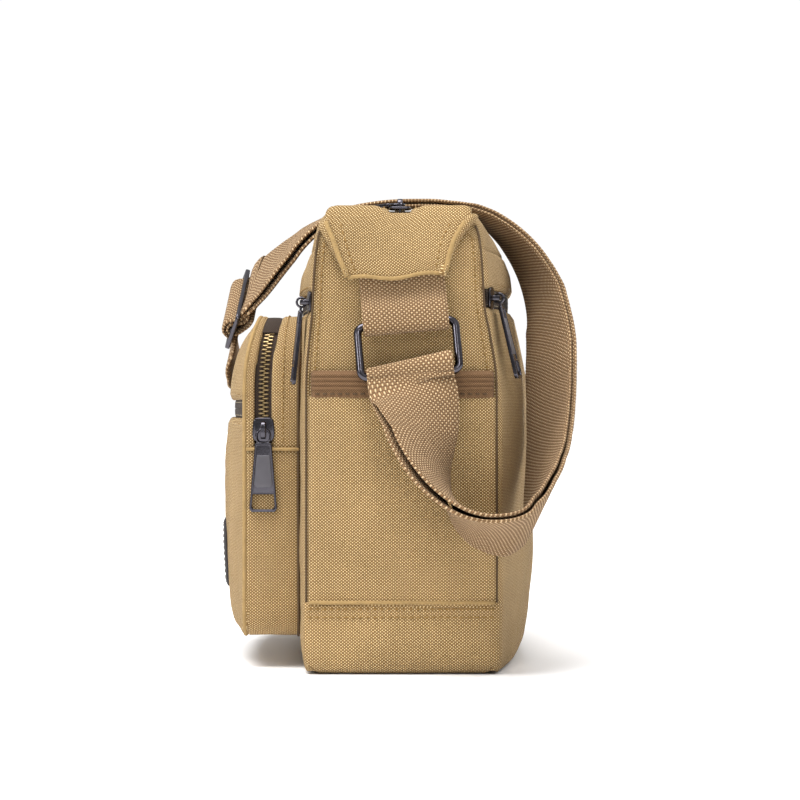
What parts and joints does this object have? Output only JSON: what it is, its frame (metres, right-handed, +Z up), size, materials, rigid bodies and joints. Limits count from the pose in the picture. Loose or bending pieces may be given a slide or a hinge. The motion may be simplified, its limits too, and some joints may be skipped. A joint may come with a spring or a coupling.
{
  "type": "messenger bag",
  "caption": "Canvas messenger bag with a zipped top, a gusseted front pocket, end slip pockets and a webbing shoulder strap on two rectangular rings.",
  "frame": {"origin": "centre of the bag's footprint box, on the floor", "axes": "+X along the bag towards the end whose ring carries the doubled strap, -Y out of the front pocket, +Z up"},
  "size_m": [0.3519, 0.1673, 0.2165],
  "materials": {
    "canvas": "coarse washed canvas",
    "webbing": "woven cotton webbing",
    "grosgrain": "ribbed tape",
    "zip_tape": "woven tape with metal teeth",
    "gunmetal": "polished gunmetal plating",
    "leather": "smooth",
    "lining": "plain lining cloth",
    "board": "plain board"
  },
  "bodies": {
    "bag": {"front_wall_lower": "canvas", "front_wall_upper": "canvas", "back_wall_lower": "canvas", "back_wall_upper": "canvas", "top_yoke_front": "canvas", "top_yoke_back": "canvas", "base_panel": "canvas", "base_board": "board", "end_panel_right": "canvas", "end_panel_left": "canvas", "end_flap_right": "canvas", "end_flap_left": "canvas", "slip_pocket_right": "canvas", "slip_pocket_left": "canvas", "pocket_band_right": "grosgrain", "pocket_band_left": "grosgrain", "webbing_tab_right": "webbing", "webbing_tab_left": "webbing", "top_zip_front_half": "zip_tape", "top_zip_back_half": "zip_tape", "back_zip_upper_half": "zip_tape", "back_zip_lower_half": "zip_tape", "front_zip_upper_half": "zip_tape", "front_zip_lower_half": "zip_tape", "pocket_face_lower": "canvas", "pocket_face_upper": "canvas", "face_zip_upper_half": "zip_tape", "face_zip_lower_half": "zip_tape", "pocket_gusset_front": "canvas", "pocket_gusset_back": "canvas", "pocket_gusset_base": "canvas", "pocket_zip_outer_half": "zip_tape", "pocket_zip_inner_half": "zip_tape", "leather_patch": "leather", "main_lining": "lining", "back_pocket_bag": "lining", "front_pocket_bag": "lining", "inner_slip_pocket": "lining", "strap_main": "webbing", "strap_return": "webbing", "strap_adjuster": "gunmetal"},
    "top_zip_slider": {"top_zip_slider": "gunmetal"},
    "top_zip_pull": {"top_zip_pull": "gunmetal"},
    "back_zip_slider": {"back_zip_slider": "gunmetal"},
    "back_zip_pull": {"back_zip_pull": "gunmetal"},
    "front_zip_slider": {"front_zip_slider": "gunmetal"},
    "front_zip_pull": {"front_zip_pull": "gunmetal"},
    "face_zip_slider": {"face_zip_slider": "gunmetal"},
    "face_zip_pull": {"face_zip_pull": "gunmetal"},
    "pocket_zip_slider": {"pocket_zip_slider": "gunmetal"},
    "pocket_zip_pull": {"pocket_zip_pull": "gunmetal"},
    "ring_right": {"ring_right": "gunmetal"},
    "ring_left": {"ring_left": "gunmetal"}
  },
  "joints": [
    {"name": "top_zip_travel", "type": "slide", "parent": "bag", "child": "top_zip_slider", "axis": [1, 0, 0], "range_m": [-0.231, 0]},
    {"name": "top_zip_pull_flip", "type": "hinge", "parent": "top_zip_slider", "child": "top_zip_pull", "pos_m": [0.1155, 0.01045, 0.2064], "axis": [-0.4067, 0.9135, 0], "range_deg": [0, 170]},
    {"name": "back_zip_travel", "type": "hinge", "parent": "bag", "child": "back_zip_slider", "pos_m": [0, -0.49206, 0.165], "axis": [0, 0, 1], "range_deg": [0, 24], "deforming": ["strap_main", "strap_return"]},
    {"name": "back_zip_pull_lift", "type": "hinge", "parent": "back_zip_slider", "child": "back_zip_pull", "pos_m": [0.11616, 0.05424, 0.165], "axis": [0.9781, -0.208, 0], "range_deg": [0, 130]},
    {"name": "front_zip_travel", "type": "hinge", "parent": "bag", "child": "front_zip_slider", "pos_m": [0, 0.9756, 0.163], "axis": [0, 0, 1], "range_deg": [-0.5, 0]},
    {"name": "front_zip_pull_lift", "type": "hinge", "parent": "front_zip_slider", "child": "front_zip_pull", "pos_m": [0.12067, -0.03296, 0.163], "axis": [-0.9929, -0.1188, 0], "range_deg": [0, 130]},
    {"name": "face_zip_travel", "type": "hinge", "parent": "bag", "child": "face_zip_slider", "pos_m": [0, 0.5062, 0.116], "axis": [0, 0, 1], "range_deg": [0, 18.2]},
    {"name": "face_zip_pull_lift", "type": "hinge", "parent": "face_zip_slider", "child": "face_zip_pull", "pos_m": [-0.09189, -0.06521, 0.116], "axis": [-0.9873, 0.1588, 0], "range_deg": [0, 90]},
    {"name": "pocket_zip_travel", "type": "slide", "parent": "bag", "child": "pocket_zip_slider", "axis": [0, 0, 1], "range_m": [0, 0.0205]},
    {"name": "pocket_zip_pull_lift", "type": "hinge", "parent": "pocket_zip_slider", "child": "pocket_zip_pull", "pos_m": [0.1065, -0.05045, 0.1066], "axis": [0, -1, 0], "range_deg": [0, 165]},
    {"name": "ring_right_swing", "type": "hinge", "parent": "bag", "child": "ring_right", "pos_m": [0.1366, 0.01305, 0.1534], "axis": [0, -0.9962, -0.0872], "range_deg": [0, 105], "deforming": ["strap_main", "strap_return"]},
    {"name": "ring_left_swing", "type": "hinge", "parent": "bag", "child": "ring_left", "pos_m": [-0.1366, 0.01305, 0.1534], "axis": [0, 0.9962, 0.0872], "range_deg": [0, 105], "deforming": ["strap_main", "strap_return"]}
  ]
}
